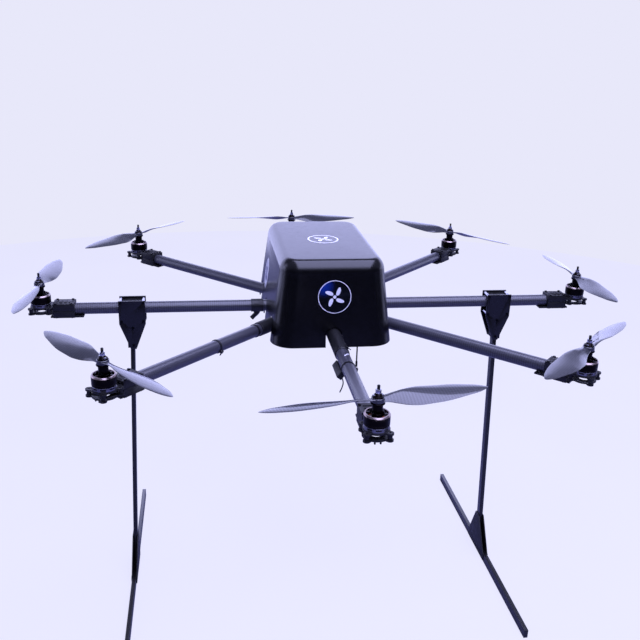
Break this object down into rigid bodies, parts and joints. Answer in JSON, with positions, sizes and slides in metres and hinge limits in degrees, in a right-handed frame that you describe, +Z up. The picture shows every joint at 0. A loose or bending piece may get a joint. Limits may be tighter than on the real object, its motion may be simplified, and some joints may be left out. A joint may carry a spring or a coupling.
{
  "type": "multirotor drone",
  "caption": "Multirotor with round carbon arms, direct-drive rotors, a glossy lift-off canopy over a central plate frame, and two tall leaning legs on long skids.",
  "frame": {"origin": "on the ground under the middle of the airframe, at the height of the skids' lower faces", "axes": "+Z up, -Y towards the front arm, +X to the right-hand arm as seen from the front"},
  "size_m": [1.2526, 1.2606, 0.833],
  "materials": {
    "carbon_tube": "clear-coated woven carbon fibre tube",
    "moulded_nylon": "black glass-filled nylon, moulded",
    "machined_aluminium": "machined, bare",
    "anodised_aluminium": "satin black anodised",
    "carbon_propeller": "satin clear coat over twill carbon weave",
    "canopy_abs": "high gloss black vacuum-formed sheet",
    "carbon_plate": "satin twill carbon plate",
    "steel_screws": "zinc plated",
    "circuit_board": "green solder mask",
    "heat_shrink": "black shrink sleeve with an aluminium heat sink",
    "white_plastic": "white moulded",
    "battery_wrap": "blue shrink film",
    "webbing": "black nylon webbing",
    "carbon_bar": "satin carbon laminate"
  },
  "bodies": {
    "airframe": {"arm_tube_front": "carbon_tube", "arm_tube_front_right": "carbon_tube", "arm_tube_right": "carbon_tube", "arm_tube_rear_right": "carbon_tube", "arm_tube_rear": "carbon_tube", "arm_tube_rear_left": "carbon_tube", "arm_tube_left": "carbon_tube", "arm_tube_front_left": "carbon_tube", "motor_mount_front": "moulded_nylon", "motor_mount_front_right": "moulded_nylon", "motor_mount_right": "moulded_nylon", "motor_mount_rear_right": "moulded_nylon", "motor_mount_rear": "moulded_nylon", "motor_mount_rear_left": "moulded_nylon", "motor_mount_left": "moulded_nylon", "motor_mount_front_left": "moulded_nylon", "motor_stator_front": "machined_aluminium", "motor_stator_front_right": "machined_aluminium", "motor_stator_right": "machined_aluminium", "motor_stator_rear_right": "machined_aluminium", "motor_stator_rear": "machined_aluminium", "motor_stator_rear_left": "machined_aluminium", "motor_stator_left": "machined_aluminium", "motor_stator_front_left": "machined_aluminium", "canopy_posts": "machined_aluminium", "lower_plate": "carbon_plate", "upper_plate": "carbon_plate", "battery_tray": "carbon_plate", "hub_clamps": "moulded_nylon", "screws_and_standoffs": "steel_screws", "power_board": "circuit_board", "speed_controllers": "heat_shrink", "flight_controller": "moulded_nylon", "radio_receiver": "moulded_nylon", "gps_receiver": "white_plastic", "battery": "battery_wrap", "battery_straps": "webbing", "leg_bracket_left": "moulded_nylon", "leg_bracket_right": "moulded_nylon", "leg_left": "carbon_bar", "leg_right": "carbon_bar", "skid_left": "carbon_bar", "skid_right": "carbon_bar"},
    "canopy": {"canopy": "canopy_abs"},
    "rotor_front": {"motor_bell_front": "anodised_aluminium", "propeller_front": "carbon_propeller"},
    "rotor_front_right": {"motor_bell_front_right": "anodised_aluminium", "propeller_front_right": "carbon_propeller"},
    "rotor_right": {"motor_bell_right": "anodised_aluminium", "propeller_right": "carbon_propeller"},
    "rotor_rear_right": {"motor_bell_rear_right": "anodised_aluminium", "propeller_rear_right": "carbon_propeller"},
    "rotor_rear": {"motor_bell_rear": "anodised_aluminium", "propeller_rear": "carbon_propeller"},
    "rotor_rear_left": {"motor_bell_rear_left": "anodised_aluminium", "propeller_rear_left": "carbon_propeller"},
    "rotor_left": {"motor_bell_left": "anodised_aluminium", "propeller_left": "carbon_propeller"},
    "rotor_front_left": {"motor_bell_front_left": "anodised_aluminium", "propeller_front_left": "carbon_propeller"}
  },
  "joints": [
    {"name": "canopy_lift", "type": "slide", "parent": "airframe", "child": "canopy", "axis": [0, 0, 1], "range_m": [0, 0.25]},
    {"name": "rotor_front_spin", "type": "hinge", "parent": "airframe", "child": "rotor_front", "pos_m": [0, -0.6, 0.73], "axis": [0, 0, 1], "continuous": true},
    {"name": "rotor_front_right_spin", "type": "hinge", "parent": "airframe", "child": "rotor_front_right", "pos_m": [0.42426, -0.42426, 0.73], "axis": [0, 0, -1], "continuous": true},
    {"name": "rotor_right_spin", "type": "hinge", "parent": "airframe", "child": "rotor_right", "pos_m": [0.6, 0, 0.73], "axis": [0, 0, 1], "continuous": true},
    {"name": "rotor_rear_right_spin", "type": "hinge", "parent": "airframe", "child": "rotor_rear_right", "pos_m": [0.42426, 0.42426, 0.73], "axis": [0, 0, -1], "continuous": true},
    {"name": "rotor_rear_spin", "type": "hinge", "parent": "airframe", "child": "rotor_rear", "pos_m": [0, 0.6, 0.73], "axis": [0, 0, 1], "continuous": true},
    {"name": "rotor_rear_left_spin", "type": "hinge", "parent": "airframe", "child": "rotor_rear_left", "pos_m": [-0.42426, 0.42426, 0.73], "axis": [0, 0, -1], "continuous": true},
    {"name": "rotor_left_spin", "type": "hinge", "parent": "airframe", "child": "rotor_left", "pos_m": [-0.6, 0, 0.73], "axis": [0, 0, 1], "continuous": true},
    {"name": "rotor_front_left_spin", "type": "hinge", "parent": "airframe", "child": "rotor_front_left", "pos_m": [-0.42426, -0.42426, 0.73], "axis": [0, 0, -1], "continuous": true}
  ]
}
